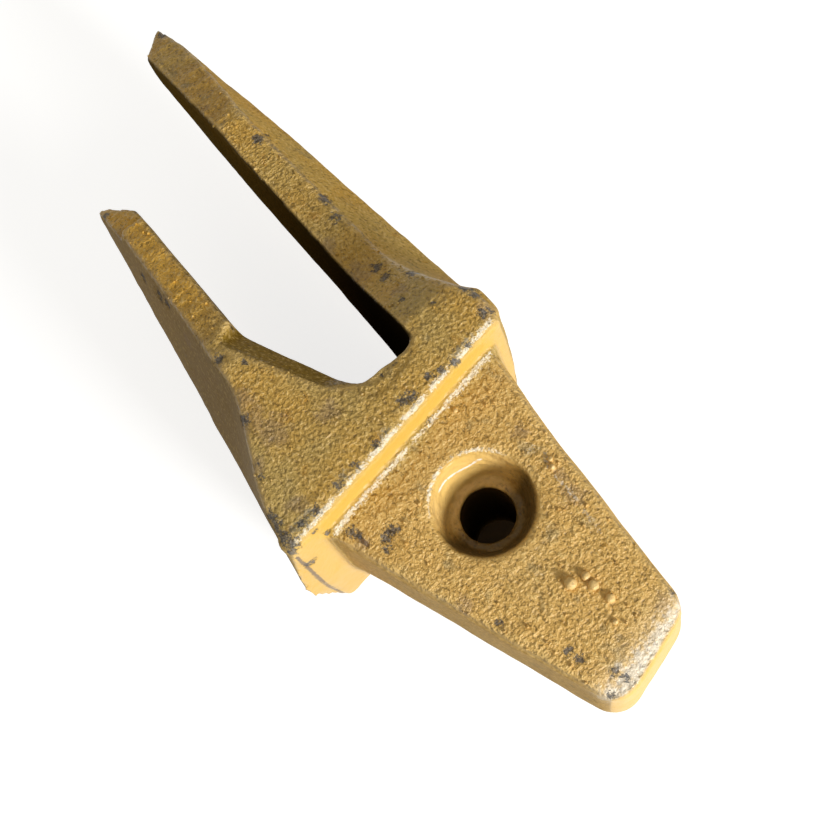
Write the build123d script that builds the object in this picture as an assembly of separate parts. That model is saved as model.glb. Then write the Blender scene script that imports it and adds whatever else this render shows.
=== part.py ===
from build123d import *
import os
from math import radians, sqrt, tan

# Bucket tooth adapter, weld-on type with two straps, cast in one piece, in millimetres.
# It lies on its flat side, as it rests on a bench. Z is up and runs along the pin bore.
# X runs along the lip slot, towards the nose. The long strap is on the +Y side.
# The origin is where the axis of the pin bore crosses the parting plane of the casting.
# The parting plane is Z = 0: both halves are alike, apart from the seat of the pin's retainer.

# Lip slot, between the two straps
slot_gap = 45.0
slot_face_above_pin = 18.0
slot_end_behind_pin = 59.0
throat_flat = 24.0
throat_upper_radius = 2.5
throat_lower_radius = 7.0
lip_bevel_angle = 22.0
bevel_blend_radius = 30.0
bevel_relief_run = 10.0
bevel_relief_depth = 16.0
relief_share_near_throat = 0.65
relief_run_out = 12.0

# Nose that the tooth slides onto, turned upwards from the direction of the lip slot
nose_tilt = 9.0
shoulder_behind_pin = 34.0
nose_tip_ahead_of_pin = 79.7
nose_end_lean = 7.0
nose_top_above_pin = 37.8
nose_top_slope = 13.0
nose_flare_slope = 17.0
nose_bottom_below_pin = 40.1
nose_bottom_slope = 10.8
nose_base_width = 89.0
nose_tip_width = 82.5
nose_edge_radius = 4.0
nose_root_radius = 4.0
nose_top_corner_radius = 13.0
nose_bottom_corner_radius = 12.0
nose_side_corner_radius = 9.0
nose_draft = 2.8

# Side pin bore, with the seat of the pin's retainer on the upper side
pin_bore_diameter = 20.0
retainer_mouth_diameter = 37.0
retainer_floor_diameter = 27.5
retainer_seat_depth = 20.0
retainer_edge_radius = 2.0

# Collar: the rim of the body that the back edge of the tooth meets
body_width = 112.0
collar_above_pin = 56.0
collar_below_pin = 59.5
collar_thickness = 8.0
collar_corner_radius = 5.0
collar_edge_radius = 4.0
collar_draft = 1.2
shoulder_draft = 2.0
keel_setback = 2.3
keel_front_width = 94.0

# Body and long strap. Heights are above the upper face of the lip slot.
body_top_height = 32.4
body_rim_height = 28.8
body_rim_bevel = 5.5
long_strap_shelf_height = 33.0
long_strap_root_height = 31.5
long_strap_middle_height = 23.8
long_strap_tip_height = 14.0
long_strap_wall = 15.5
long_strap_middle_wall = 13.25
long_strap_tip_wall = 11.0
long_strap_width = 65.0
long_strap_middle_width = 63.0
long_strap_tip_width = 57.0
long_strap_crown_width = 24.0
long_strap_reach = 210.0
long_strap_blend_start = 1.0
long_strap_blend = 50.0
wall_fade_power = 2
crown_fade_power = 4
long_strap_point_length = 80.0
long_strap_point_width = 12.0

# Body and short strap. Depths are below the lower face of the lip slot.
body_rim_depth = 35.3
body_rim_depth_at_shoulder = 37.3
short_strap_wall = 14.0
short_strap_tip_wall = 10.5
keel_depth_at_shoulder = 41.6
keel_slope = 9.1
keel_width = 22.0
body_sweep_start = 24.0
body_sweep_length = 63.0
short_strap_reach = 150.0
short_strap_tip_width = 56.0
short_strap_point_length = 22.0
short_strap_point_width = 34.0

# As-cast edges of body and straps, and the ends of both straps
cast_edge_radius = 3.0
long_strap_end_lean = 44.0
short_strap_end_lean = 54.0

blend_steps = 8

# How far a rough shape runs past the place where it is trimmed, and how near an edge is to be picked
trim_allowance = 1.0
pick_distance = 0.5

# Places that follow from the sizes above
upper_face = slot_face_above_pin
lower_face = upper_face - slot_gap
slot_middle = (upper_face + lower_face) / 2
slot_end = -slot_end_behind_pin
bevel_top = upper_face - throat_flat
bevel_run = (bevel_top - lower_face) / tan(radians(lip_bevel_angle))
bevel_end = slot_end - bevel_run
shoulder = -shoulder_behind_pin
half_body = body_width / 2
body_front = shoulder / 2
nose_flare = (nose_base_width - nose_tip_width) / 2 / (nose_tip_ahead_of_pin - shoulder)
land_radius = (body_width - nose_base_width) / 5
long_tip = slot_end - long_strap_reach
short_tip = slot_end - short_strap_reach
beyond = long_strap_reach + body_width


def corner(face, x, y):
    """The corner of a flat outline that lies nearest to a point."""
    return face.vertices().sort_by_distance(Vector(x, y, 0))[0]


def slope(angle):
    """Rise for each millimetre of run."""
    return tan(radians(angle))


def ease(share):
    """Goes from 0 to 1 with a gentle start and a gentle end."""
    share = min(max(share, 0), 1)
    return share * share * (3 - 2 * share)


def strap_section(x, half_width, wall_edge, half_crown, crown):
    """Upper half mould of one cross-section, with rounded edges.

    A straight wall runs up to wall_edge, and a slope from there to a flat crown.
    """
    outline = make_face(
        Polyline(
            (slot_middle, 0),
            (slot_middle, half_width),
            (wall_edge, half_width),
            (crown, half_crown),
            (crown, 0),
            close=True,
        )
    )
    outline = fillet(corner(outline, wall_edge, half_width), cast_edge_radius)
    outline = fillet(corner(outline, crown, half_crown), cast_edge_radius)
    return Plane(origin=(x, 0, 0), x_dir=(0, 1, 0), z_dir=(1, 0, 0)) * outline


def strap_plan(tip, point_length, half_width, half_point):
    """Upper half mould of a strap's outline seen from outside the lip, closing to a round point."""
    sides = tip + point_length
    wide = sides + point_length / 4
    outline = make_face(
        Polyline(
            (tip, 0),
            (tip, half_point),
            (sides, half_width),
            (wide, half_width),
            (wide, body_width),
            (body_width, body_width),
            (body_width, 0),
            close=True,
        )
    )
    outline = fillet(corner(outline, sides, half_width), point_length / 4)
    outline = fillet(corner(outline, tip, half_point), half_point)
    return extrude(Plane.XZ * outline, beyond, both=True)


def past_strap_end(tip, outer, lean):
    """Everything past a strap's end face, which leans back from the outer side towards the slot."""
    block = Pos(-beyond / 2, 0, 0) * Box(beyond, beyond, beyond)
    return Pos(tip, outer, 0) * Rot(0, 0, lean) * block


def ahead_of_shoulder(setback):
    """Everything in front of a plane that lies behind the shoulder by the setback and leans with it."""
    block = Pos(body_width / 2, 0, 0) * Box(body_width, beyond, beyond)
    return Rot(0, 0, nose_tilt) * Pos(shoulder - setback, 0, 0) * Rot(0, -shoulder_draft, 0) * block


def make_nose():
    """Upper half mould of the nose, with its edges still sharp and its end rounded."""
    base = shoulder - collar_thickness / 2 - half_body * slope(nose_draft)
    top_fall = slope(nose_top_slope)
    bottom_rise = slope(nose_bottom_slope)
    lean = slope(nose_end_lean)
    top_x = (nose_tip_ahead_of_pin - lean * nose_top_above_pin) / (1 - lean * top_fall)
    bottom_x = (nose_tip_ahead_of_pin + lean * nose_bottom_below_pin) / (1 + lean * bottom_rise)
    top_y = nose_top_above_pin - top_fall * top_x
    bottom_y = bottom_rise * bottom_x - nose_bottom_below_pin
    side = make_face(
        Polyline(
            (base, bottom_rise * base - nose_bottom_below_pin),
            (bottom_x, bottom_y),
            (top_x, top_y),
            (0, nose_top_above_pin),
            (base, nose_top_above_pin - slope(nose_flare_slope) * base),
            close=True,
        )
    )
    side = fillet(corner(side, top_x, top_y), nose_top_corner_radius)
    side = fillet(corner(side, bottom_x, bottom_y), nose_bottom_corner_radius)
    base_z = nose_base_width / 2 + nose_flare * (shoulder - base)
    tip_z = nose_base_width / 2 - nose_flare * (bottom_x - shoulder)
    plan = make_face(Polyline((base, 0), (base, base_z), (bottom_x, tip_z), (bottom_x, 0), close=True))
    plan = fillet(corner(plan, bottom_x, tip_z), nose_side_corner_radius)
    reach = nose_top_above_pin + nose_bottom_below_pin
    return extrude(side, half_body, taper=nose_draft) & extrude(Plane.XZ * plan, reach, both=True)


def make_collar():
    """Upper half mould of the collar: a plate with rounded edges, whose front leans back with the draft."""
    narrowing = half_body * slope(collar_draft)
    section = make_face(
        Polyline(
            (-collar_below_pin, 0),
            (collar_above_pin, 0),
            (collar_above_pin - narrowing, half_body),
            (narrowing - collar_below_pin, half_body),
            close=True,
        )
    )
    section = fillet(corner(section, collar_above_pin - narrowing, half_body), collar_corner_radius)
    section = fillet(corner(section, narrowing - collar_below_pin, half_body), collar_corner_radius)
    back = Plane(origin=(-collar_thickness, 0, 0), x_dir=(0, 1, 0), z_dir=(1, 0, 0))
    plate = extrude(back * section, collar_thickness, dir=(1, 0, 0))
    front = plate.faces().sort_by(Axis.X)[-1]
    rim = front.edges().filter_by(lambda edge: edge.center().Z > collar_edge_radius)
    plate = fillet(rim, min(collar_edge_radius, land_radius))
    leaning = Pos(shoulder, 0, 0) * Rot(0, -shoulder_draft, 0) * plate
    above_parting = Pos(shoulder, 0, body_width) * Box(body_width, 2 * body_width, 2 * body_width)
    return leaning & above_parting


def make_front():
    """Upper half mould of nose and collar, with the concave root first and then the long edges."""
    front = make_nose() + make_collar()

    def is_root(edge):
        middle = edge.center()
        face_x = shoulder - slope(shoulder_draft) * middle.Z
        on_face = abs(middle.X - face_x) < pick_distance
        below_rim = middle.Y < collar_above_pin - collar_edge_radius - pick_distance
        above_rim = middle.Y > collar_edge_radius + pick_distance - collar_below_pin
        in_mould = pick_distance < middle.Z < nose_base_width / 2 + pick_distance
        return on_face and below_rim and above_rim and in_mould

    front = fillet(front.edges().filter_by(is_root), min(nose_root_radius, land_radius))
    flank = front.faces().filter_by(lambda face: face.center().X > 0).sort_by(Axis.Z)[-1]
    outline = flank.edges().filter_by(lambda edge: edge.center().X > shoulder + 2 * nose_root_radius)
    return Rot(0, 0, nose_tilt) * fillet(outline, min(nose_edge_radius, land_radius))


def make_upper_body():
    """Upper half mould of the body above the slot, blending into the long strap."""
    half_rim = half_body - body_rim_bevel
    half_strap = long_strap_width / 2
    half_crown = long_strap_crown_width / 2
    body_top = upper_face + body_top_height
    body_rim = upper_face + body_rim_height
    shelf_top = upper_face + long_strap_shelf_height
    root_top = upper_face + long_strap_root_height
    root_wall = upper_face + long_strap_wall
    sections = [strap_section(body_front, half_body, body_rim, half_rim, body_top)]
    for step in range(blend_steps + 1):
        share = step / blend_steps
        away = 1 - share
        x = slot_end - long_strap_blend_start - share * long_strap_blend
        half_width = half_body + (half_strap - half_body) * ease(share)
        wall = root_wall + (body_rim - root_wall) * away**wall_fade_power
        crown_half = half_crown + (half_rim - half_crown) * away**crown_fade_power
        to_shelf = (shelf_top - body_top) * ease(2 * share)
        to_root = (root_top - shelf_top) * ease(2 * share - 1)
        sections.append(strap_section(x, half_width, wall, crown_half, body_top + to_shelf + to_root))
    middle = (slot_end - long_strap_blend + long_tip) / 2
    middle_wall = upper_face + long_strap_middle_wall
    middle_top = upper_face + long_strap_middle_height
    sections.append(strap_section(middle, long_strap_middle_width / 2, middle_wall, half_crown, middle_top))
    past_tip = long_tip - trim_allowance
    tip_wall = upper_face + long_strap_tip_wall
    tip_top = upper_face + long_strap_tip_height
    sections.append(strap_section(past_tip, long_strap_tip_width / 2, tip_wall, half_crown, tip_top))
    plan = strap_plan(long_tip, long_strap_point_length, half_strap, long_strap_point_width / 2)
    body = (loft(sections, ruled=True) & plan) - ahead_of_shoulder(collar_edge_radius)
    return body - past_strap_end(long_tip, tip_top, long_strap_end_lean)


def make_lower_body():
    """Upper half mould of the body below the slot, with its keel, running out into the short strap."""
    half_keel = keel_width / 2
    body_rim = lower_face - body_rim_depth
    strap_wall = lower_face - short_strap_wall
    sweep_start = slot_end + body_sweep_start

    def keel(x):
        return lower_face - keel_depth_at_shoulder + slope(keel_slope) * (shoulder - x)

    front_rim = lower_face - body_rim_depth_at_shoulder
    sections = [strap_section(body_front, half_body, front_rim, half_keel, keel(body_front))]
    for step in range(blend_steps + 1):
        share = step / blend_steps
        x = sweep_start - share * body_sweep_length
        wall = body_rim + (strap_wall - body_rim) * ease(share)
        sections.append(strap_section(x, half_body, wall, half_keel, keel(x)))
    half_tip = short_strap_tip_width / 2
    tip_wall = lower_face - short_strap_tip_wall
    past_tip = short_tip - trim_allowance
    sections.append(strap_section(past_tip, half_tip, tip_wall, half_keel, keel(short_tip)))
    plan = strap_plan(short_tip, short_strap_point_length, half_tip, short_strap_point_width / 2)
    body = loft(sections, ruled=True) & plan
    body = body - past_strap_end(short_tip, keel(short_tip), -short_strap_end_lean)
    keel_front = body & Box(beyond, beyond, keel_front_width)
    return (body - ahead_of_shoulder(collar_edge_radius)) + (keel_front - ahead_of_shoulder(keel_setback))


def make_lip_slot():
    """Room for the lip of the bucket, with a bevelled lower side behind the throat."""
    outline = make_face(
        Polyline(
            (slot_end, upper_face),
            (-beyond, upper_face),
            (-beyond, lower_face),
            (bevel_end, lower_face),
            (slot_end, bevel_top),
            close=True,
        )
    )
    outline = fillet(corner(outline, slot_end, upper_face), throat_upper_radius)
    outline = fillet(corner(outline, slot_end, bevel_top), throat_lower_radius)
    outline = fillet(corner(outline, bevel_end, lower_face), bevel_blend_radius)
    return extrude(outline, body_width, both=True)


def make_bevel_relief():
    """Wedge that breaks the edge between the bevel and the flat side, and runs out at the throat."""
    length = sqrt(bevel_run**2 + (bevel_top - lower_face) ** 2)

    def wedge_section(along, share):
        outward = (1 - share) * bevel_relief_depth
        triangle = make_face(
            Polyline(
                (-bevel_relief_run, half_body - 2 * bevel_relief_depth + outward),
                (2 * bevel_relief_run, half_body + bevel_relief_depth + outward),
                (-bevel_relief_run, half_body + bevel_relief_depth + outward),
                close=True,
            )
        )
        return Plane.YZ.offset(along) * triangle

    near_throat = wedge_section(relief_run_out, relief_share_near_throat)
    wedge = loft([wedge_section(0, 0), near_throat, wedge_section(length, 1)], ruled=True)
    return Pos(slot_end, bevel_top, 0) * Rot(0, 0, 180 + lip_bevel_angle) * wedge


def cut_pin_bore(casting):
    """Bore for the side pin, and the tapered seat of its retainer with a rounded mouth."""
    mouth = nose_base_width / 2 + nose_flare * shoulder
    floor = mouth - retainer_seat_depth
    floor_radius = retainer_floor_diameter / 2
    mouth_radius = retainer_mouth_diameter / 2
    outer_radius = 2 * mouth_radius - floor_radius
    from_floor = (Align.CENTER, Align.CENTER, Align.MIN)
    seat = Cone(floor_radius, outer_radius, 2 * retainer_seat_depth, align=from_floor)
    casting = casting - Cylinder(pin_bore_diameter / 2, 2 * body_width) - Pos(0, 0, floor) * seat
    rim = casting.edges().sort_by_distance(Vector(0, mouth_radius, mouth))[0]
    return fillet(rim, retainer_edge_radius)


def main():
    half = make_upper_body() + make_lower_body() - make_lip_slot() - make_bevel_relief() + make_front()
    casting = cut_pin_bore(half + mirror(half, Plane.XY))
    print("casting:", len(casting.solids()), "solid,", round(casting.volume / 1000), "cubic centimetres")
    os.makedirs("parts", exist_ok=True)
    export_step(casting, "parts/adapter_casting.step")


main()
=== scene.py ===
# %% [markdown]
# A bucket tooth adapter, dressed
#
# The real object is one steel casting. Two straps are welded onto the lip of a digging bucket, and
# a tooth slides over the nose and is locked by a pin through the bore. The casting came out of a
# sand mould with a rough skin, was painted once in ochre, and has been knocked about in a yard.
#
# The solid comes from the CAD frame at its real size, in metres. This lesson gives that solid a
# finer mesh, rounds its edges, grows the cast skin on it, and paints it.

# %% Load the frame
from math import cos, radians, sin

import bmesh
import bpy
import numpy as np
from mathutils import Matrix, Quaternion, Vector


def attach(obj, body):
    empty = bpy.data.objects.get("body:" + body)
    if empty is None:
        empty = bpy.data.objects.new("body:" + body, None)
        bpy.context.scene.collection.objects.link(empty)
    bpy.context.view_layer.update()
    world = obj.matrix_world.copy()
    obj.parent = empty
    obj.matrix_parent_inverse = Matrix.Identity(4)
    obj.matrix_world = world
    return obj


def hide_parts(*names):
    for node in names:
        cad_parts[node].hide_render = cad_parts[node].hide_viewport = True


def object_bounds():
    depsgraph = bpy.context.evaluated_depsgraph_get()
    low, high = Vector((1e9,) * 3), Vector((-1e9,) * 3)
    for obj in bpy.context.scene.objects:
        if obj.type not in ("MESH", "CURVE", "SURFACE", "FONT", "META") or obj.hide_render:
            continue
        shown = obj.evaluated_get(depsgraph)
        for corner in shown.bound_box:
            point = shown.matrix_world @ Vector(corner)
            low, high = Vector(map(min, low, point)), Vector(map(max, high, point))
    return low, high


MM = 0.001
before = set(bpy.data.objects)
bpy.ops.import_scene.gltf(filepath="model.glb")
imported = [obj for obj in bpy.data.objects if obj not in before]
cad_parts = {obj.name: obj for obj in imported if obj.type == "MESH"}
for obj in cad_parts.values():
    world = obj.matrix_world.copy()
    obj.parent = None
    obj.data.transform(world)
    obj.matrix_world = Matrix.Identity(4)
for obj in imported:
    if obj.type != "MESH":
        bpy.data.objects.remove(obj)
cad_low, cad_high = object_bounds()
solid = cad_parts["adapter_casting"]
print("solid:", len(solid.data.polygons), "faces, from", cad_low, "to", cad_high)

# %% [markdown]
# Camera
#
# The photograph looks down on the casting from beside the nose, and is turned so that the nose
# points to the lower right. The viewpoint, the point it looks at and the roll are three plain
# facts, so the camera is set from those rather than from a matrix. The small shift puts the centre
# of the picture where it was in the photograph, before its edges were trimmed.

# %% Place the camera
view_point = Vector((94.76, -26.48, 485.38)) * MM
view_target = Vector((-73.37, 13.97, 0.0)) * MM
view_roll = radians(-27.1)
focal_length = 56.27
picture_shift = (0.0126, -0.0543)

camera = bpy.data.objects.new("camera", bpy.data.cameras.new("camera"))
camera.data.lens = focal_length
camera.data.shift_x, camera.data.shift_y = picture_shift
camera.data.clip_start = 0.01
camera.rotation_mode = "QUATERNION"
camera.location = view_point
looking = (view_target - view_point).to_track_quat("-Z", "Y")
camera.rotation_quaternion = looking @ Quaternion((0, 0, 1), view_roll)
bpy.context.scene.collection.objects.link(camera)
bpy.context.scene.camera = camera
bpy.context.scene.view_settings.view_transform = "Standard"
print("camera looks along", (view_target - view_point).normalized())

# %% [markdown]
# A finer mesh for the skin
#
# The CAD mesh has a few long triangles on each flat face, so there is nothing on it to push in and
# out. A voxel remesh rebuilds the same shape from small even squares, as small as the limit on
# triangles allows. The copy is merged first, because the CAD mesh is loose triangles.

# %% Copy the solid in small squares
voxel = 1.37 * MM


def linked(name, mesh):
    """Links a new object that holds the mesh, at the origin."""
    piece = bpy.data.objects.new(name, mesh)
    bpy.context.scene.collection.objects.link(piece)
    return piece


def baked(piece):
    """Turns a piece with its modifiers into a plain mesh."""
    graph = bpy.context.evaluated_depsgraph_get()
    mesh = bpy.data.meshes.new_from_object(piece.evaluated_get(graph))
    piece.modifiers.clear()
    old = piece.data
    piece.data = mesh
    bpy.data.meshes.remove(old)
    return piece


weld_distance = 0.001 * MM
shape = bmesh.new()
shape.from_mesh(solid.data)
bmesh.ops.remove_doubles(shape, verts=shape.verts, dist=weld_distance)
shape_mesh = bpy.data.meshes.new("casting_skin")
shape.to_mesh(shape_mesh)
shape.free()
casting = linked("dressed_casting", shape_mesh)
remesh = casting.modifiers.new("even squares", "REMESH")
remesh.mode = "VOXEL"
remesh.voxel_size = voxel
remesh.adaptivity = 0.0
baked(casting)
print("fine mesh:", len(casting.data.polygons), "squares")

# %% [markdown]
# Round the edges
#
# No edge of a sand casting is sharp. A bevel would round them all alike, and it needs clean rows
# of faces along each edge, which even squares don't have. Moving each point towards the middle of
# its neighbours, again and again, wears the edges down and leaves the flat faces alone. The same
# averaging, run further, gives a ghost of the shape with its edges melted away: where the skin
# stands outside the ghost it is an edge. That measure is kept on the mesh, and later tells the
# paint where it is rubbed.

# %% Average each point with its neighbours
mesh = casting.data
point_count = len(mesh.vertices)
edge_ends = np.empty(len(mesh.edges) * 2, int)
mesh.edges.foreach_get("vertices", edge_ends)
edge_a, edge_b = edge_ends.reshape(-1, 2).T
neighbour_count = np.bincount(edge_a, minlength=point_count) + np.bincount(edge_b, minlength=point_count)
pull = 0.5


def averaged(values, rounds):
    """Pulls each row of values half way to the mean of its neighbours, again and again."""
    for _ in range(rounds):
        mean = np.empty_like(values)
        for axis in range(values.shape[1]):
            column = values[:, axis]
            total = np.bincount(edge_a, column[edge_b], point_count)
            total += np.bincount(edge_b, column[edge_a], point_count)
            mean[:, axis] = total / neighbour_count
        values = values + pull * (mean - values)
    return values


print("points:", point_count, "with", neighbour_count.min(), "to", neighbour_count.max(), "neighbours each")


# %% Read numbers from the mesh, and keep numbers on it
def read_points(what):
    """The places or the normals of all points of the mesh, one row each."""
    flat = np.empty(point_count * 3)
    mesh.vertices.foreach_get(what, flat)
    return flat.reshape(-1, 3)


def keep_on_mesh(name, values):
    """Stores one number from 0 to 2 for each point, for the nodes to read."""
    attribute = mesh.attributes.new(name, "FLOAT", "POINT")
    attribute.data.foreach_set("value", np.clip(values, 0, 2).astype(np.float32))


def ramp(values, low, high):
    """Goes smoothly from 0 at low to 1 at high, for a whole row of numbers."""
    share = np.clip((values - low) / (high - low), 0, 1)
    return share * share * (3 - 2 * share)


# %% Wear the edges down
rounding_rounds = 3
normal_rounds = 2
ghost_rounds = 26
edge_depth = 0.9 * MM

points = averaged(read_points("co"), rounding_rounds)
mesh.vertices.foreach_set("co", points.ravel())
mesh.update()
normals = averaged(read_points("normal"), normal_rounds)
ghost = averaged(points, ghost_rounds)
bulge = ((points - ghost) * normals).sum(1) / edge_depth
keep_on_mesh("edge", bulge)
print("edges on", int((bulge > 0.5).sum()), "points")

# %% [markdown]
# Where each part of the skin is
#
# The skin is not alike everywhere. The faces that look to the nose's end are smooth, and are painted
# lighter as a highlight where they face the lamp. The side towards the short strap is dull with dust
# and painted darker as shade, the slot and the bore are painted dark as shade, and the tip of the
# nose is rubbed pale. Each of these is a number from 0 to 1 that follows from a point's place and
# from the way its skin faces. It could be a chain of nodes in the paint, but here it is one line,
# and both the skin and the paint can read it. A named pair says where such a number starts and
# where it is full. It is in millimetres for a place, and a part of the normal's length for a facing.

# %% Measure place and facing
x, y, z = points.T / MM
facing_x, facing_y, facing_z = normals.T
nose_tilt = radians(9.0)
along_nose = x * cos(nose_tilt) + y * sin(nose_tilt)
from_bore = np.hypot(x, y)
print("the skin's middle:", x.mean().round(1), y.mean().round(1), z.mean().round(1), "mm")

# %% Find the seat, the bore and the slot
seat_wall = (-19.5, -17.5)
seat_depth = (20, 23)
seat_shade_side = (-6, 3)
lit_seat_reach = (0, 9)
bore_wall = (-11.6, -10.4)
long_strap_face = 18.0
face_reach = (-2.5, -1.0)
faces_slot = (0.3, 0.7)
behind_throat = (57.5, 59.5)
slot_shade = (-190, -85)

in_seat = ramp(-from_bore, *seat_wall) * ramp(z, *seat_depth)
off_seat = in_seat < 0.5
# The seat's side away from the lamp, painted dark as the shadow of its rim.
seat_shade = in_seat * ramp(x, *seat_shade_side)
# The seat's side that faces the lamp, painted lighter as light falling on it.
lit_seat_side = in_seat * ramp(-x, *lit_seat_reach)
# The bore: matt skin, and painted dark as shade.
in_bore = ramp(-from_bore, *bore_wall) * off_seat
# The long strap's inner face in the slot, painted dark as shade, near black deep in the slot.
inner_face = ramp(-np.abs(y - long_strap_face), *face_reach) * ramp(-facing_y, *faces_slot)
in_slot = inner_face * ramp(-x, *behind_throat)
deep_slot_shade = in_slot * ramp(x, *slot_shade)
print("points in the seat:", int((~off_seat).sum()), "and in the bore:", int((in_bore > 0.5).sum()))

# %% Find the nose, its tip and the bands of painted highlight
faces_end = (0.55, 0.85)
front_start = (-60, -45)
nose_start = (-34, -26)
tip_run = (60, 78)
tip_depth = (20, 38)
leaves_tip = (-0.9, -0.5)
leaves_front = (-0.76, -0.6)
turns_to_end = (0.1, 0.36)
looks_up = (0.4, 0.6)
band_height = (38, 42)
band_start = (-60, -50)
faces_up_or_down = (-0.45, -0.3)
seat_rim_reach = 25
seat_rim_highlight = 0.8

# Faces that look to the nose's end: their skin is smoother, and they get a painted highlight.
front = ramp(facing_x, *faces_end) * ramp(x, *front_start)
light_nose = ramp(along_nose, *nose_start)
at_tip = ramp(along_nose, *tip_run) * ramp(z, *tip_depth) * ramp(-facing_x, *leaves_tip)
off_front = ramp(-facing_x, *leaves_front)
# Bands of painted highlight along the shoulder's rounded edge and the seat's rim.
rounded = ramp(facing_x, *turns_to_end) * off_front * ramp(facing_z, *looks_up)
on_seat_rim = seat_rim_highlight * (from_bore < seat_rim_reach)
highlight_band = rounded * ramp(z, *band_height) * ramp(x, *band_start) * off_seat
highlight_band = highlight_band * np.maximum(ramp(-np.abs(facing_y), *faces_up_or_down), on_seat_rim)
print("bright front on", int((front > 0.5).sum()), "points, polish on", int((highlight_band > 0.5).sum()))

# %% Find the tints of the straps and their painted shade
faces_shaded_side = (0.35, 0.8)
less_on_nose = (-40, -20)
faces_square = (0.5, 0.85)

# Faces turned to -Y, away from the lamp: dust, and a painted shade on that side, less of it on the nose.
dust_and_shade = ramp(-facing_y, *faces_shaded_side) * (1 - in_slot) * (1 - in_seat) * (1 - in_bore)
dust_and_shade = dust_and_shade * (1 - 0.5 * ramp(x, *less_on_nose))
short_strap = ramp(-x, 110, 140) * ramp(-y, 5, 12)
long_strap_root = ramp(-x, 70, 90) * ramp(y, 10, 15)
golden = short_strap + 0.25 * long_strap_root
# Faces that turn into the slot by the short strap: a painted shade, darker olive.
olive_shade = ramp(facing_y, 0.2, 0.5) * ramp(-y, -8, 0) * ramp(-x, 57, 62)
# The long strap's end faces away from the lamp: a painted shade, dark grey.
shaded_end = ramp(-facing_x, *faces_square) * ramp(-x, 225, 240)
side_wall = ramp(np.abs(facing_y), *faces_square)
print("dust on", int((dust_and_shade > 0.5).sum()), "points, gold on", int((golden > 0.5).sum()))

# %% Say how smooth and how matt the skin is, and keep it all on the mesh
coarse_start = (85, 120)

smoothness = np.maximum.reduce([front, in_seat, in_bore, 0.5 * at_tip, 0.9 * side_wall])
coarse = ramp(-x, *coarse_start)
skin_numbers = {
    "front": front,
    "seat": in_seat,
    "bore": in_bore,
    "slot": in_slot,
    "deep slot": deep_slot_shade,
    "dust_and_shade": dust_and_shade,
    "tip": at_tip,
    "nose": light_nose,
    "painted_seat_shadow": seat_shade,
    "lit_seat_side": lit_seat_side,
    "golden": golden,
    "olive_shade": olive_shade,
    "shaded_end": shaded_end,
    "matt": np.maximum.reduce([0.85 * side_wall * off_seat, in_slot, in_bore]),
    "grain": (1 + 0.3 * coarse) * (1 - 0.8 * smoothness),
    "ripple": (0.55 + 0.6 * coarse) * (1 - smoothness) * (1 - shaded_end),
}
for name, values in skin_numbers.items():
    keep_on_mesh(name, values)
print("kept", len(skin_numbers), "numbers a point, smooth skin on", int((smoothness > 0.5).sum()), "points")

# %% [markdown]
# Knocks and rubs
#
# Every knock has its own place on the real casting, so they are lists: where a mark's middle is on
# the skin and how far it reaches, in millimetres. A point's mark is 1 in the middle and 0 at the
# reach. They could be painted on an image, but a list stays in place when the mesh is made anew.
# The paint breaks the soft round marks up into ragged chips, so a long chip is two or three marks
# in a row. Chips go down to dark steel, and rubs only thin the paint to a dull film. Scratches, the
# scuffed edge, the creases painted with shade and the lines of painted highlight follow a path, so
# they are marked by how near a point is to a line.

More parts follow.
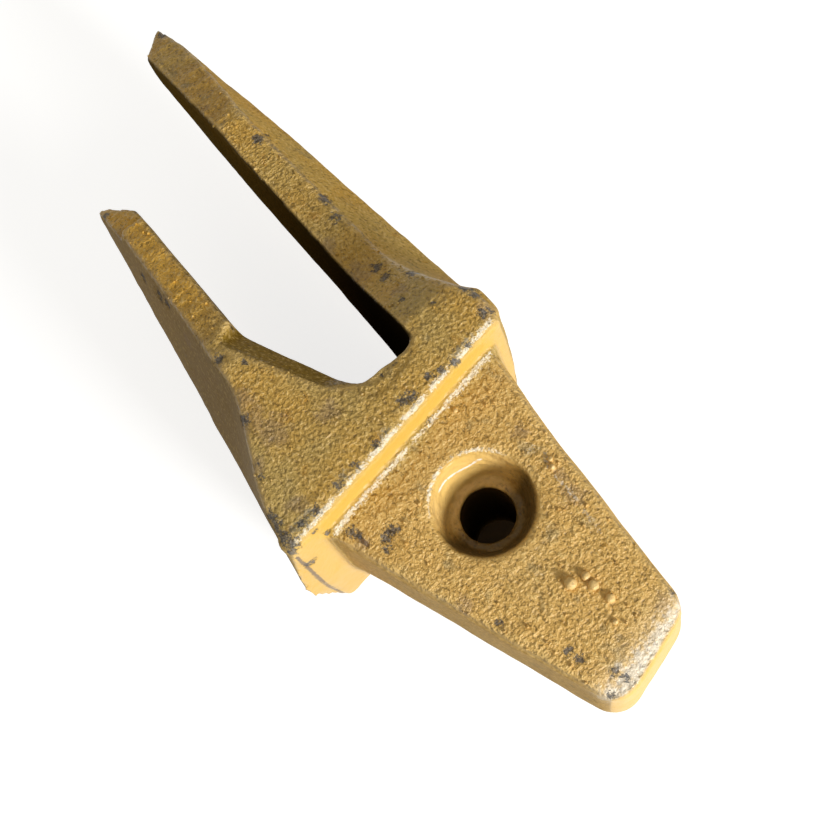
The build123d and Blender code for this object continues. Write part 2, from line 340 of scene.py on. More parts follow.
# %% Place the chips and rubs
chips = [
    (-176.4, 29.1, 31.7, 5.2), (-177.7, 33.7, 28.0, 2.4), (-136.9, 33.1, 31.4, 5.0),
    (-127.0, 31.2, 32.3, 4.4), (-98.6, 28.9, 35.7, 4.2), (-91.7, 28.7, 39.7, 4.0),
    (-83.9, 36.6, 44.7, 4.6), (-76.0, 26.3, 50.2, 3.0), (-65.0, 33.3, 55.2, 1.9),
    (-62.6, 45.9, 54.5, 4.2), (-58.1, 46.9, 55.4, 4.4), (-49.9, 43.8, 56.0, 3.6),
    (-48.8, 47.0, 55.4, 3.4), (-44.0, 32.6, 55.5, 2.6), (-42.3, 24.7, 55.3, 3.6),
    (-43.6, 19.0, 55.5, 3.0), (-44.6, 14.2, 56.0, 3.2), (-43.0, 5.0, 56.0, 4.4),
    (-44.2, 1.4, 56.0, 3.6), (-38.2, -15.5, 55.8, 3.0), (-37.0, -25.4, 55.6, 2.8),
    (-35.6, -34.5, 55.6, 3.2), (-33.8, -46.0, 56.0, 3.4), (-33.2, -52.6, 56.0, 3.6),
    (-42.9, -60.0, 55.7, 4.6), (-39.0, -59.8, 55.9, 4.8), (-33.8, -60.2, 55.9, 5.0),
    (-29.6, -59.7, 55.0, 4.8), (-28.0, -62.4, 52.1, 4.2), (-26.1, -60.4, 32.3, 4.4),
    (-28.4, -50.5, 53.0, 2.0), (-27.4, -47.9, 45.6, 2.2), (-22.6, -41.9, 44.4, 3.6),
    (-19.9, -40.4, 44.3, 2.6), (-13.7, -30.4, 44.1, 4.4), (-12.9, -33.8, 44.0, 3.8),
    (-9.7, -36.0, 44.0, 2.8), (34.5, -22.5, 42.7, 2.8), (57.1, -10.5, 42.0, 3.4),
    (61.2, -9.7, 41.8, 3.2), (71.5, -3.5, 41.5, 3.0), (75.5, -1.8, 41.4, 2.6),
    (76.8, -9.6, 40.7, 3.0), (64.3, 29.5, 40.3, 2.8), (-76.9, -46.1, 55.5, 4.2),
    (-56.3, -53.3, 56.0, 2.2), (-60.7, -51.8, 56.0, 2.0), (-162.1, -42.5, 28.7, 4.8),
    (-147.2, -41.8, 36.5, 4.8), (-141.0, -41.6, 39.4, 4.4), (-102.0, -39.1, 55.0, 3.8),
    (-93.8, -32.2, 56.0, 2.4), (-199.7, -39.3, 21.7, 3.6), (-262.9, 32.6, 8.0, 6.0),
    (-35.3, 4.7, 45.3, 2.0), (-56.8, 8.0, 56.0, 1.8), (-56.2, 2.0, 56.0, 1.6),
]
rubs = [
    (-185.1, -38.8, 28.0, 6.0), (-123.8, -44.6, 37.3, 5.5), (-82.2, -40.6, 56.0, 7.0),
    (-75.0, -43.0, 56.0, 9.0), (-58.9, -20.7, 56.0, 7.5), (-66.0, -40.0, 56.0, 11.0),
    (-206.4, 21.4, 26.7, 4.0), (-215.0, 18.0, 19.8, 3.5), (-213.5, 38.1, 13.6, 5.0),
    (-11.1, 26.5, 43.7, 5.5), (17.7, 25.3, 42.9, 8.0), (10.0, 27.0, 43.0, 5.0),
    (23.0, -27.9, 43.0, 6.0), (-80.2, 27.8, 47.5, 5.5), (-17.8, -41.2, 44.2, 4.5),
    (-101.0, 20.0, 33.0, 14.0), (-50.0, 46.0, 55.0, 7.0), (66.0, 24.0, 41.0, 6.0),
    (-120.0, 20.0, 30.0, 9.0), (-40.0, -50.0, 56.0, 7.0), (-60.0, -52.0, 56.0, 6.0),
]


# %% Measure how near each point is to a mark
def marked(marks):
    """The strongest mark at each point: 1 at a mark's middle, 0 at its reach."""
    strongest = np.zeros(point_count)
    for mark_x, mark_y, mark_z, reach in marks:
        distance = np.sqrt((x - mark_x) ** 2 + (y - mark_y) ** 2 + (z - mark_z) ** 2)
        strongest = np.maximum(strongest, 1 - distance / reach)
    return strongest


def distance_to(line, places):
    """How far each place is from a line through the given points, in two or three dimensions."""
    nearest = np.full(len(places), np.inf)
    for start, end in zip(line, line[1:]):
        start, run = np.array(start), np.array(end) - np.array(start)
        offset = places - start
        share = np.clip(offset @ run / (run @ run), 0, 1)
        nearest = np.minimum(nearest, np.linalg.norm(offset - share[:, None] * run, axis=1))
    return nearest


def near_line(line, reach):
    """1 on a line over the skin, and 0 at the reach and beyond."""
    return np.maximum(1 - distance_to(line, points / MM) / reach, 0)


chip_mark = marked(chips)
keep_on_mesh("chip", chip_mark)
keep_on_mesh("rub", marked(rubs))
print("chips:", len(chips), "rubs:", len(rubs))

# %% Mark what follows a line
# Lines painted dark as the shade of a step, with chipped paint along them: below the collar's front, and by
# the nose.
crease_reach = 1.4
shaded_creases = [
    [(-27.1, -61.8, 47.0), (-26.4, -62.9, 21.4), (-26.2, -63.4, 0.0), (-28.3, -63.2, -49.2)],
    [(-19.9, -40.4, 44.3), (-17.0, -40.6, 44.2), (-14.2, -39.8, 44.2)],
]
scratch_reach = 1.7
scratches = [
    [(-3.8, 23.4, 43.5), (-4.1, 27.4, 43.5)],
    [(0.6, 27.9, 43.4), (5.3, 25.6, 43.3)],
    [(9.0, 25.6, 43.2), (14.4, 25.9, 43.0), (20.6, 25.5, 42.8)],
    [(24.5, 25.0, 42.8), (33.7, 24.3, 42.5)],
]
# A painted highlight: a broken white line where the lamp glints on paint runs in the seat.
glint_reach = 1.8
painted_glint_line = [
    (-14.8, -8.5, 37.7), (-16.3, -5.4, 37.9), (-16.6, -1.2, 35.8),
    (-16.3, 1.7, 34.8), (-15.6, 4.9, 34.6), (-13.9, 10.0, 37.9),
]
scuff_reach = 4.5
scuffed_edge = [(-48.2, 52.0, 56.0), (-40.5, 0.0, 56.0), (-33.4, -56.0, 56.0)]
leaves_edge = (-0.4, -0.25)
root_reach = 4.0
nose_root = [(-41.5, 43.0, 45.2), (-28.3, -40.0, 45.2)]
# A painted highlight along the root of the nose.
root_highlight_share = 0.8

root_highlight = root_highlight_share * near_line(nose_root, root_reach) * off_front
keep_on_mesh("crease_shade", np.maximum.reduce([near_line(line, crease_reach) for line in shaded_creases]))
keep_on_mesh("scratch", np.maximum.reduce([near_line(line, scratch_reach) for line in scratches]))
keep_on_mesh("painted_glint", near_line(painted_glint_line, glint_reach))
keep_on_mesh("scuff", near_line(scuffed_edge, scuff_reach) * ramp(-facing_x, *leaves_edge))
keep_on_mesh("painted_highlight", np.maximum(highlight_band, root_highlight))
print("creases:", len(shaded_creases), "scratches:", len(scratches))

# %% [markdown]
# Forms between grain and shape
#
# Three forms on the real skin are neither grain nor paint. The flat of the nose rolls over towards
# its tip. A thin flash of metal stands along the edge of the slot's end, where the mould leaked. And
# each chip lies a little below the paint round it. They could be sculpted, but a formula that moves
# the points does the same each time. The skin beside the flash sinks and the flash stays, because
# nothing may stand out of the solid's box.

# %% Roll the tip, raise the flash, sink the chips
tip_roll = 1.3 * MM
chip_depth = 0.35 * MM
chip_slope = (0.1, 0.6)
flash_height = 0.9 * MM
flash_reach = 2.0
flat_side = (53, 55)
flash_line = [
    (-57.2, 12.0), (-56.2, 8.0), (-54.6, 3.0), (-54.2, -1.5),
    (-55.6, -4.5), (-59.0, -6.6), (-64.0, -8.6),
]

on_flat_side = ramp(z, *flat_side)
to_flash = distance_to(flash_line, points[:, :2] / MM)
flash = ramp(-to_flash, -flash_reach, 0) * on_flat_side
beside_flash = (ramp(-to_flash, -2 * flash_reach, -flash_reach) - flash) * on_flat_side
moved = points - normals * (chip_depth * ramp(chip_mark, *chip_slope))[:, None]
moved[:, 2] -= tip_roll * at_tip**2 + flash_height * beside_flash
mesh.vertices.foreach_set("co", moved.ravel())
mesh.update()
print("farthest move:", (np.linalg.norm(moved - points, axis=1).max() / MM).round(2), "mm")

# %% [markdown]
# Choose where warts grow
#
# Metal ran into holes in the sand and left hard little balls on the skin. The ones that catch the
# eye have their own places, the others are strewn by chance with a fixed seed. A wart grows on a
# point of the mesh, so each one just marks the point nearest to it with the wart's radius.

# %% Mark the points that carry warts
placed_warts = [
    (40.0, 5.0, 42.4, 2.1), (41.9, 10.0, 42.3, 1.5), (45.3, 9.8, 42.2, 1.8),
    (53.1, 11.7, 42.0, 1.6), (59.0, 7.0, 41.8, 1.0), (-82.3, -28.4, 56.0, 0.6),
    (-56.9, -14.0, 56.0, 0.6), (-54.6, -16.6, 56.0, 0.7), (-55.0, -20.2, 56.0, 0.6),
    (5.5, 26.4, 43.3, 1.1), (3.6, 27.4, 43.3, 0.9), (-32.0, 14.0, 44.6, 0.9),
]
strewn_count = 150
strewn_radii = (0.3, 0.6)
wart_seed = 11

dice = np.random.default_rng(wart_seed)
wart_radius = np.zeros(point_count)
open_skin = np.flatnonzero((facing_z > 0.6) & (smoothness < 0.2) & (from_bore > 22))
for spot in dice.choice(open_skin, strewn_count, replace=False):
    wart_radius[spot] = dice.uniform(*strewn_radii)
for wart_x, wart_y, wart_z, radius in placed_warts:
    nearest = np.argmin((x - wart_x) ** 2 + (y - wart_y) ** 2 + (z - wart_z) ** 2)
    wart_radius[nearest] = radius
keep_on_mesh("wart", wart_radius * MM)
print("warts:", int((wart_radius > 0).sum()))

# %% [markdown]
# Grow the cast skin
#
# Sand grains leave a skin like orange peel, and the faces of the mould were never quite flat. Both
# are a rule that follows the surface, so Geometry Nodes push each point along its normal by two
# noises: a wide swell, and a grain that is drawn out across the casting into faint ripples. The
# same tree sets a ball on each marked point, a third sunk and roughened so that it looks grown on.
# The sizes and heights of both noises are inputs of the tree, in millimetres. The skin sinks by a
# little, so that the highest grains stay inside the solid's box.

# %% Give the skin tree its inputs
skin_tree = bpy.data.node_groups.new("cast skin", "GeometryNodeTree")
skin_tree.interface.new_socket("Geometry", in_out="INPUT", socket_type="NodeSocketGeometry")
skin_sizes = {
    "Swell size": 24.0,
    "Swell height": 0.7,
    "Grain size": 3.6,
    "Grain height": 0.9,
    "Sink": 0.3,
}
for size_name in skin_sizes:
    skin_tree.interface.new_socket(size_name, in_out="INPUT", socket_type="NodeSocketFloat")
skin_tree.interface.new_socket("Paint", in_out="INPUT", socket_type="NodeSocketMaterial")
skin_tree.interface.new_socket("Geometry", in_out="OUTPUT", socket_type="NodeSocketGeometry")
print("inputs of the skin tree, in mm:", skin_sizes)


# %% Add nodes by name
def add_node(tree, kind, settings=None, **inputs):
    """Adds a node, sets its options, and links or fills its inputs by name, or by i and a number."""
    node = tree.nodes.new(kind)
    for key, value in (settings or {}).items():
        setattr(node, key, value)
    for key, value in inputs.items():
        socket = node.inputs[int(key[1:])] if key[1:].isdigit() else node.inputs[key.replace("_", " ")]
        if isinstance(value, bpy.types.NodeSocket):
            tree.links.new(value, socket)
        else:
            socket.default_value = value
    return node


def maths(tree, operation, *values, clamp=False):
    """A Math node on up to three values."""
    inputs = {f"i{number}": value for number, value in enumerate(values)}
    settings = {"operation": operation, "use_clamp": clamp}
    return add_node(tree, "ShaderNodeMath", settings, **inputs).outputs[0]


def vector_maths(tree, operation, first, second):
    """A Vector Math node on two vectors."""
    return add_node(tree, "ShaderNodeVectorMath", {"operation": operation}, i0=first, i1=second).outputs[0]


# %% Draw a noise out across the casting
draw_out = (1.0, 0.5, 1.0)
stray_size = 16.0
stray_reach = 3.0


def drawn_out(tree, where):
    """Stretches noise along Y, and lets its direction stray a little from spot to spot."""
    stray = add_node(tree, "ShaderNodeTexNoise", Vector=where, Scale=1 / (stray_size * MM), Detail=1.0)
    offset = vector_maths(tree, "SUBTRACT", stray.outputs["Color"], (0.5, 0.5, 0.5))
    offset = vector_maths(tree, "MULTIPLY", offset, (stray_reach * MM,) * 3)
    return vector_maths(tree, "MULTIPLY", vector_maths(tree, "ADD", where, offset), draw_out)


# %% Push the skin in and out
given = skin_tree.nodes.new("NodeGroupInput").outputs
skin_place = add_node(skin_tree, "GeometryNodeInputPosition").outputs[0]
outwards = add_node(skin_tree, "GeometryNodeInputNormal").outputs[0]
skin_detail = 2.0


def surface_noise(where, size, height):
    """Noise of one size in millimetres, as a height in metres on both sides of nought."""
    scale = maths(skin_tree, "DIVIDE", 1 / MM, size)
    noise = add_node(skin_tree, "ShaderNodeTexNoise", Vector=where, Scale=scale, Detail=skin_detail)
    middle = maths(skin_tree, "SUBTRACT", noise.outputs["Fac"], 0.5)
    return maths(skin_tree, "MULTIPLY", maths(skin_tree, "MULTIPLY", middle, 2 * MM), height)


def stored(name):
    """Reads a number that was kept on the mesh."""
    node = add_node(skin_tree, "GeometryNodeInputNamedAttribute", {"data_type": "FLOAT"}, Name=name)
    return node.outputs["Attribute"]


def along_normal(length):
    """A step of the given length straight out of the skin."""
    settings = {"operation": "SCALE"}
    return add_node(skin_tree, "ShaderNodeVectorMath", settings, Vector=outwards, Scale=length).outputs[0]


def pushed(geometry, height):
    """Moves each point of a geometry along its normal."""
    node = add_node(skin_tree, "GeometryNodeSetPosition", Geometry=geometry, Offset=along_normal(height))
    return node.outputs[0]


# %% Let the skin swell and ripple
swell = surface_noise(skin_place, given["Swell size"], given["Swell height"])
ripples = surface_noise(drawn_out(skin_tree, skin_place), given["Grain size"], given["Grain height"])
lift = maths(skin_tree, "MULTIPLY_ADD", ripples, stored("ripple"), swell)
lift = maths(skin_tree, "MULTIPLY_ADD", given["Sink"], -MM, lift)
skin = pushed(given["Geometry"], lift)
print("the skin takes", len(skin_tree.nodes), "nodes")

# %% Set a ball on each marked point
ball_rise = 0.35
ball_swell = 0.1
ball_grain_size = 1.3
ball_grain_height = 0.6

ball_radius = stored("wart")
is_wart = add_node(skin_tree, "FunctionNodeCompare", {"operation": "GREATER_THAN"}, i0=ball_radius, i1=0.0)
rise = along_normal(maths(skin_tree, "MULTIPLY", ball_radius, ball_rise))
seeds = add_node(
    skin_tree,
    "GeometryNodeMeshToPoints",
    Mesh=skin,
    Selection=is_wart.outputs[0],
    Position=vector_maths(skin_tree, "ADD", skin_place, rise),
)
ball = add_node(skin_tree, "GeometryNodeMeshIcoSphere", Radius=1.0, Subdivisions=2)
ball_size = add_node(skin_tree, "ShaderNodeCombineXYZ", X=ball_radius, Y=ball_radius, Z=ball_radius)
balls = add_node(
    skin_tree,
    "GeometryNodeInstanceOnPoints",
    Points=seeds.outputs[0],
    Instance=ball.outputs[0],
    Scale=ball_size.outputs[0],
)
loose_balls = add_node(skin_tree, "GeometryNodeRealizeInstances", Geometry=balls.outputs[0])
ball_grain = surface_noise(skin_place, ball_grain_size, ball_grain_height)
ball_grain = maths(skin_tree, "MULTIPLY_ADD", ball_radius, ball_swell, ball_grain)
warts = pushed(loose_balls.outputs[0], ball_grain)
print("skin and warts take", len(skin_tree.nodes), "nodes")

# %% Join skin and warts
join = add_node(skin_tree, "GeometryNodeJoinGeometry")
skin_tree.links.new(warts, join.inputs[0])
skin_tree.links.new(skin, join.inputs[0])
whole = add_node(skin_tree, "GeometryNodeRealizeInstances", Geometry=join.outputs[0])
painted = add_node(skin_tree, "GeometryNodeSetMaterial", Geometry=whole.outputs[0], Material=given["Paint"])
skin_output = skin_tree.nodes.new("NodeGroupOutput")
skin_tree.links.new(painted.outputs[0], skin_output.inputs[0])
print("skin tree:", len(skin_tree.nodes), "nodes")

# %% [markdown]
# The paint
#
# One coat of ochre over a rough skin. Its colour drifts between ochre and khaki, the pits hold
# dirt, and the high grains are rubbed pale. An image painted on the unfolded skin would show seams
# and squares up close. Noise on the object's own coordinates has neither, so the coat is built of
# it, like the real one: one colour over another, each where a number that the mesh keeps says so.

# %% Start the paint
paint = bpy.data.materials.new("worn_ochre_paint")
paint.use_nodes = True
paint_tree = paint.node_tree
paint_tree.nodes.clear()
coords = add_node(paint_tree, "ShaderNodeTexCoord").outputs["Object"]


def paint_noise(size, detail, roughness=0.5, where=coords):
    """Noise of one size in millimetres, from 0 to 1."""
    scale = 1 / (size * MM)
    settings = {"Vector": where, "Scale": scale, "Detail": detail, "Roughness": roughness}
    return add_node(paint_tree, "ShaderNodeTexNoise", **settings).outputs["Fac"]


def step_between(value, low, high):
    """Goes smoothly from 0 at low to 1 at high."""
    smooth = {"interpolation_type": "SMOOTHSTEP"}
    return add_node(paint_tree, "ShaderNodeMapRange", smooth, Value=value, i1=low, i2=high).outputs[0]


def times(first, second):
    """Multiplies two numbers."""
    return maths(paint_tree, "MULTIPLY", first, second)


def mark(name):
    """Reads a number that was kept on the mesh."""
    return add_node(paint_tree, "ShaderNodeAttribute", {"attribute_name": name}).outputs["Fac"]


# %% Mix colours
def colour(red, green, blue):
    """An 8-bit screen colour as the linear colour that a shader wants."""
    linear = [((part / 255 + 0.055) / 1.055) ** 2.4 for part in (red, green, blue)]
    return (*linear, 1.0)


def mixed(share, first, second):
    """Mixes two colours."""
    node = add_node(paint_tree, "ShaderNodeMix", {"data_type": "RGBA"})
    sockets = (node.inputs["Factor"], node.inputs[6], node.inputs[7])
    for socket, value in zip(sockets, (share, first, second)):
        if isinstance(value, bpy.types.NodeSocket):
            paint_tree.links.new(value, socket)
        else:
            socket.default_value = value
    return node.outputs[2]


def tinted(under, name, share, tint):
    """Lays a colour over another where the mesh keeps a number for it."""
    return mixed(times(mark(name), share), under, tint)


# %% Mix the colour of the coat
ochre = colour(204, 161, 73)
khaki = colour(192, 162, 90)
light_ochre = colour(230, 185, 104)
gold = colour(240, 186, 72)
brown_ochre = colour(192, 142, 50)
grey_khaki = colour(150, 134, 94)
# The next three colours: a painted shade, dust darkened by painted shade, and a painted highlight.
shaded_olive_brown = colour(150, 118, 34)
shaded_dust = colour(132, 110, 74)
lamp_lit_ochre = colour(220, 176, 74)

drift = step_between(paint_noise(34.0, 3.0), 0.38, 0.62)
blotch = paint_noise(9.0, 3.0, 0.6)
brown_blotch = step_between(blotch, 0.58, 0.78)
grey_blotch = step_between(blotch, 0.42, 0.26)
coat = mixed(drift, ochre, khaki)
coat = tinted(coat, "nose", 0.75, light_ochre)
coat = tinted(coat, "golden", 0.9, gold)
coat = mixed(brown_blotch, coat, brown_ochre)
coat = mixed(times(grey_blotch, 0.6), coat, grey_khaki)
# Painted shade: darker olive on the faces that turn into the slot.
coat = tinted(coat, "olive_shade", 0.8, shaded_olive_brown)
# Dust and painted shade on the side turned away from the lamp.
coat = tinted(coat, "dust_and_shade", 0.85, shaded_dust)
# Painted highlight: the faces that look to the nose's end, towards the lamp, are painted lighter.
coat = tinted(coat, "front", 0.9, lamp_lit_ochre)
print("the coat takes", len(paint_tree.nodes), "nodes")

# %% Rub the high grains pale and fill the pits
rubbed_grain = colour(240, 206, 132)
filled_pit = colour(112, 86, 38)
grain_share = 0.65

grains = paint_noise(1.35, 3.0)
smooth_skin = maths(paint_tree, "MULTIPLY_ADD", mark("dust_and_shade"), 0.6, mark("front"))
rough_skin = maths(paint_tree, "SUBTRACT", 1.0, smooth_skin, clamp=True)
grain_paint = times(rough_skin, grain_share)
coat = mixed(times(step_between(grains, 0.52, 0.7), grain_paint), coat, rubbed_grain)
coat = mixed(times(step_between(grains, 0.47, 0.3), grain_paint), coat, filled_pit)
print("with its grain:", len(paint_tree.nodes), "nodes")

# %% [markdown]
# The wear, and painted light and shade
#
# Paint wears off in spots, first on the highest grains. A soft mark alone would look sprayed on. So
# a fine noise is added to the mark, and where the sum passes a level the coat is gone. The stronger
# the mark, the more spots there are, until they join. Painted highlights and shades are broken up
# the same way. Edges and the shoulder are rubbed pale, the shoulder's rounded edge and the nose's
# root get a painted highlight, the tip is rubbed almost to bright metal, and where something hit
# the casting the coat came off and left dark steel with a blue cast.


# %% Break a mark up into spots
def wear_and_light_spots(soft_mark, size, spread, start, full, share):
    """Breaks a soft mark up into ragged spots, and says how much coat is worn off or painted over."""
    spots = maths(paint_tree, "MULTIPLY_ADD", paint_noise(size, 5.0, 0.72), spread, soft_mark)
    return times(times(step_between(spots, start, full), step_between(soft_mark, 0.0, 0.25)), share)


# %% Wear the edges and the tip, and paint the shoulder's highlights
edge_rub = wear_and_light_spots(mark("edge"), size=2.4, spread=1.6, start=1.3, full=1.8, share=0.5)
dull_rub = wear_and_light_spots(mark("rub"), size=2.6, spread=2.2, start=1.3, full=1.9, share=0.4)
patchy_scuff = times(mark("scuff"), step_between(paint_noise(17.0, 1.0), 0.38, 0.62))
grey_scuff = wear_and_light_spots(patchy_scuff, size=1.6, spread=2.4, start=1.65, full=2.15, share=0.6)
tip_rub = wear_and_light_spots(mark("tip"), size=2.4, spread=1.8, start=1.4, full=1.9, share=0.85)
tip_steel = wear_and_light_spots(mark("tip"), size=1.5, spread=2.4, start=2.05, full=2.4, share=0.5)
# Painted highlights, broken up into bright spots.
uneven_highlight = times(mark("painted_highlight"), step_between(paint_noise(8.0, 2.0), 0.2, 0.52))
highlight_spots = wear_and_light_spots(uneven_highlight, size=1.0, spread=2.6, start=1.85, full=2.3, share=0.85)
scratch = wear_and_light_spots(mark("scratch"), size=1.1, spread=2.6, start=1.8, full=2.2, share=0.6)

coat = mixed(edge_rub, coat, colour(226, 190, 116))
coat = mixed(dull_rub, coat, colour(142, 118, 98))
coat = mixed(grey_scuff, coat, colour(116, 120, 114))
coat = tinted(coat, "tip", 0.4, colour(222, 204, 168))
coat = mixed(tip_rub, coat, colour(240, 228, 206))
coat = mixed(tip_steel, coat, colour(118, 118, 120))
coat = mixed(highlight_spots, coat, colour(250, 238, 212))
coat = mixed(scratch, coat, colour(212, 202, 184))
print("with edges and tip worn:", len(paint_tree.nodes), "nodes")

# %% Paint light and shade in the seat, the slot, the bore, the creases and the long strap's end
painted_glint = wear_and_light_spots(mark("painted_glint"), size=1.6, spread=0.8, start=0.9, full=1.2, share=0.9)
crease_shade = wear_and_light_spots(mark("crease_shade"), size=1.4, spread=1.2, start=0.85, full=1.2, share=0.85)

# Painted light: the seat's side that faces the lamp is lighter.
coat = tinted(coat, "lit_seat_side", 0.65, colour(244, 204, 128))
# Painted shadow: the seat's side away from the lamp, under its rim.
coat = tinted(coat, "painted_seat_shadow", 0.85, colour(50, 37, 16))
# Painted highlight: a broken white glint line in the seat.
coat = mixed(painted_glint, coat, colour(255, 248, 236))
# Painted shade along the step below the collar, with chipped paint.
coat = mixed(crease_shade, coat, colour(92, 70, 52))
# Painted shade on the long strap's inner face, near black deep in the slot.
coat = tinted(coat, "slot", 0.85, colour(74, 56, 20))
coat = tinted(coat, "deep slot", 0.95, colour(14, 10, 6))
# Painted shade inside the bore.
coat = tinted(coat, "bore", 0.9, colour(48, 36, 24))
# Painted shade on the long strap's end, which faces away from the lamp.
coat = tinted(coat, "shaded_end", 0.7, colour(66, 62, 54))
print("with its dirt:", len(paint_tree.nodes), "nodes")

# %% Pale warts, and chips down to the steel
least_pale_wart = 0.8 * MM
pale_wart = colour(246, 214, 150)
blue_steel = colour(42, 47, 54)
grey_steel = colour(112, 108, 104)

is_pale = maths(paint_tree, "GREATER_THAN", mark("wart"), least_pale_wart)
coat = mixed(times(is_pale, 0.5), coat, pale_wart)
chipped = wear_and_light_spots(mark("chip"), size=1.5, spread=2.8, start=1.78, full=2.1, share=0.85)
steel = mixed(step_between(paint_noise(0.9, 4.0, 0.65), 0.4, 0.6), blue_steel, grey_steel)
coat = mixed(chipped, coat, steel)
print("with chips and warts:", len(paint_tree.nodes), "nodes")

# %% [markdown]
# Gloss and relief
#
# The coat has a dull gloss, and hardly any in the slot, in the bore and on the side walls. A grain
# finer than the squares of the mesh can't be shape, so a Bump node tilts the light on it. What is
# larger is real geometry. The relief is lower on smooth skin, in a chip and on a wart.

# %% Gloss
least_roughness = 0.3
roughness_range = 0.2
matt_roughness = 0.75
full_shine = 0.5

sheen = maths(paint_tree, "MULTIPLY_ADD", paint_noise(4.0, 3.0), roughness_range, least_roughness)
roughness = maths(paint_tree, "MAXIMUM", sheen, times(mark("matt"), matt_roughness))
shine = maths(paint_tree, "MULTIPLY_ADD", mark("matt"), -full_shine, full_shine)
print("roughness from", least_roughness, "to", matt_roughness)

# %% Relief and the finished material
relief_height = 1.35 * MM
ripple_height = 1.2
run_height = 1.2
chip_step = -0.2
flattened_wart = -0.6

peel = times(grains, mark("grain"))
fine_ripples = paint_noise(3.0, 3.0, 0.6, drawn_out(paint_tree, coords))
fine_ripples = times(fine_ripples, times(mark("ripple"), ripple_height))
runs = times(paint_noise(5.0, 1.0), times(mark("seat"), run_height))
relief = maths(paint_tree, "ADD", maths(paint_tree, "ADD", peel, fine_ripples), runs)
relief = maths(paint_tree, "MULTIPLY_ADD", chipped, chip_step, relief)
relief = times(relief, maths(paint_tree, "MULTIPLY_ADD", is_pale, flattened_wart, 1.0))
bump = add_node(paint_tree, "ShaderNodeBump", Height=relief, Distance=relief_height, Strength=1.0)
shader = add_node(
    paint_tree,
    "ShaderNodeBsdfPrincipled",
    Base_Color=coat,
    Roughness=roughness,
    Specular_IOR_Level=shine,
    Normal=bump.outputs[0],
)
paint_output = paint_tree.nodes.new("ShaderNodeOutputMaterial")
paint_tree.links.new(shader.outputs[0], paint_output.inputs["Surface"])
print("paint:", len(paint_tree.nodes), "nodes")

# %% [markdown]
# Dress the casting
#
# The tree is a modifier whose inputs are set before it first runs, because it keeps what it ran
# with. Its result becomes a plain mesh, smooth across its squares. A few points that the grain
# pushed out of the solid's box are brought back to it. Then the piece is attached to the body it
# rides on, and the CAD solid it stands for is hidden.

# %% Put skin and paint on the casting
skin_modifier = casting.modifiers.new("cast skin", "NODES")
skin_modifier.node_group = skin_tree
tree_inputs = skin_sizes | {"Paint": paint}
for socket in skin_tree.interface.items_tree:
    if socket.in_out == "INPUT" and socket.name in tree_inputs:
        skin_modifier[socket.identifier] = tree_inputs[socket.name]
baked(casting)
casting.data.polygons.foreach_set("use_smooth", [True] * len(casting.data.polygons))
print("dressed casting:", sum(len(face.vertices) - 2 for face in casting.data.polygons), "triangles")

# %% Keep the skin inside the solid's box
skin_places = np.empty(len(casting.data.vertices) * 3)
casting.data.vertices.foreach_get("co", skin_places)
inside = np.clip(skin_places.reshape(-1, 3), cad_low, cad_high)
print("held back:", int((inside != skin_places.reshape(-1, 3)).any(axis=1).sum()), "points")
casting.data.vertices.foreach_set("co", inside.ravel())
casting.data.update()
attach(casting, "root")
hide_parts("adapter_casting")

# %% [markdown]
# Floor and light
#
# The casting lies on a pale floor under one soft lamp that stands low before the nose, so that the
# light grazes the flat side and shows its grain. To the camera the floor glows a little, which
# keeps it pale without throwing more light on the casting, and it still takes a shadow. Right under
# the bore it doesn't glow and is painted dark as a shadow, so the bore stays dark.

# %% Lay the floor
floor_reach = 12.0
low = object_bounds()[0]
corners = [(-1, -1), (1, -1), (1, 1), (-1, 1)]
floor_points = [(across * floor_reach, along * floor_reach, low.z) for across, along in corners]
floor_mesh = bpy.data.meshes.new("floor")
floor_mesh.from_pydata(floor_points, [], [(0, 1, 2, 3)])
floor = linked("floor", floor_mesh)
print("floor at z", low.z)

# %% Paint the floor
floor_roughness = 0.9
floor_glow = 0.76
floor_tint = (0.5, 0.5, 0.5, 1)
# Painted shadow: the floor right under the bore is dark and doesn't glow.
shaded_tint = (0.08, 0.06, 0.04, 1)
shade_start = 28 * MM
shade_end = 36 * MM

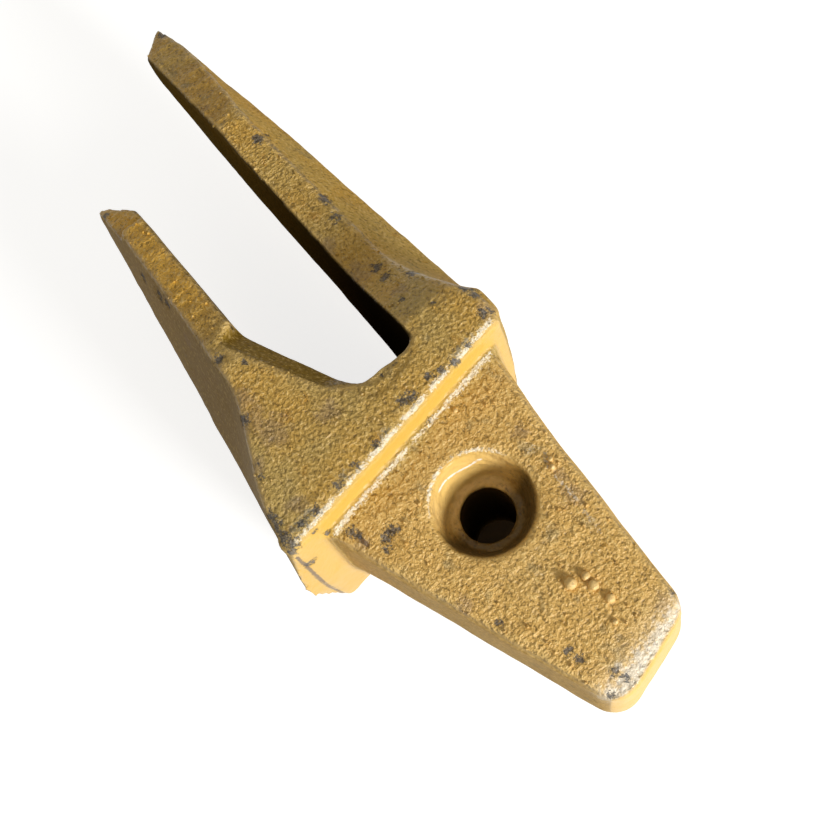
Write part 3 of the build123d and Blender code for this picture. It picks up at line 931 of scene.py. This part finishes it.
floor_paint = bpy.data.materials.new("pale_floor")
floor_paint.use_nodes = True
floor_tree = floor_paint.node_tree
floor_shader = floor_tree.nodes["Principled BSDF"]
floor_shader.inputs["Roughness"].default_value = floor_roughness
floor_shader.inputs["Emission Color"].default_value = (1, 1, 1, 1)
rays = add_node(floor_tree, "ShaderNodeLightPath").outputs
seen = maths(floor_tree, "MAXIMUM", rays["Is Camera Ray"], rays["Is Glossy Ray"])
seen = maths(floor_tree, "MAXIMUM", seen, rays["Is Transmission Ray"])
floor_place = add_node(floor_tree, "ShaderNodeTexCoord").outputs["Object"]
flat_place = vector_maths(floor_tree, "MULTIPLY", floor_place, (1, 1, 0))
away = add_node(floor_tree, "ShaderNodeVectorMath", {"operation": "LENGTH"}, i0=flat_place).outputs["Value"]
clear = add_node(floor_tree, "ShaderNodeMapRange", Value=away, i1=shade_start, i2=shade_end).outputs[0]
ground = add_node(floor_tree, "ShaderNodeMix", {"data_type": "RGBA"}, Factor=clear)
ground.inputs[6].default_value = shaded_tint
ground.inputs[7].default_value = floor_tint
glow = maths(floor_tree, "MULTIPLY", maths(floor_tree, "MULTIPLY", seen, clear), floor_glow)
floor_tree.links.new(ground.outputs[2], floor_shader.inputs["Base Color"])
floor_tree.links.new(glow, floor_shader.inputs["Emission Strength"])
floor.data.materials.append(floor_paint)

# %% Set the world and the lamp
world_tint = (1, 0.95, 0.84, 1)
world_strength = 0.38
lamp_side = radians(8)
lamp_height = radians(21)
lamp_distance = 1.9
lamp_size = 0.45
lamp_power = 38.0

world = bpy.data.worlds.new("studio")
bpy.context.scene.world = world
world.use_nodes = True
background = world.node_tree.nodes["Background"]
background.inputs["Color"].default_value = world_tint
background.inputs["Strength"].default_value = world_strength

light = bpy.data.lights.new("key lamp", "AREA")
light.size = lamp_size
light.energy = lamp_power
lamp = bpy.data.objects.new("key lamp", light)
towards = Vector((cos(lamp_height) * cos(lamp_side), cos(lamp_height) * sin(lamp_side), sin(lamp_height)))
lamp.location = view_target + lamp_distance * towards
lamp.rotation_mode = "QUATERNION"
lamp.rotation_quaternion = (-towards).to_track_quat("-Z", "Y")
bpy.context.scene.collection.objects.link(lamp)
print("lamp at", lamp.location)
